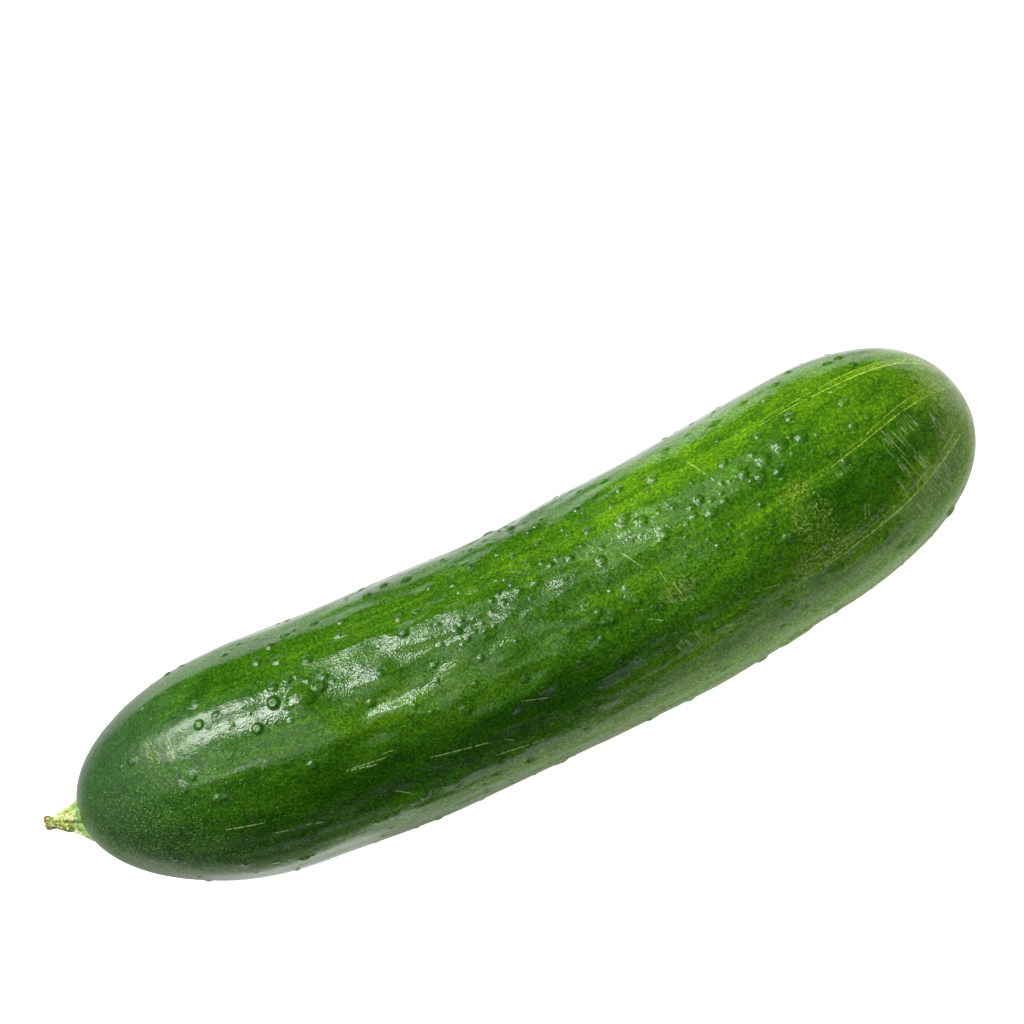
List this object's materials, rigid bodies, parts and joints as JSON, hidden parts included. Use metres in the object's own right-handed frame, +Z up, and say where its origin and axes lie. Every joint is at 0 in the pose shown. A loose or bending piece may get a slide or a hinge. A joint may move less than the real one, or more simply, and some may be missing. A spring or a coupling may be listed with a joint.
{
  "type": "cucumber",
  "caption": "Whole fresh slicing cucumber with the stub of its stem, gently bent, warty and faintly ribbed, lying on its side.",
  "frame": {"origin": "under the middle of the part, on the surface that it lies on", "axes": "+X along the fruit from its stem end to its blossom end, +Y towards the inside of its bend, +Z up"},
  "size_m": [0.1857, 0.0475, 0.0444],
  "materials": {
    "skin": "waxy green cucumber skin with yellow-green streaks and pale veins, semi-gloss",
    "stem": "pale yellow-green ridged stem with brown flecks, matt"
  },
  "bodies": {
    "root": {"fruit": "skin", "stem_stub": "stem"}
  },
  "joints": []
}
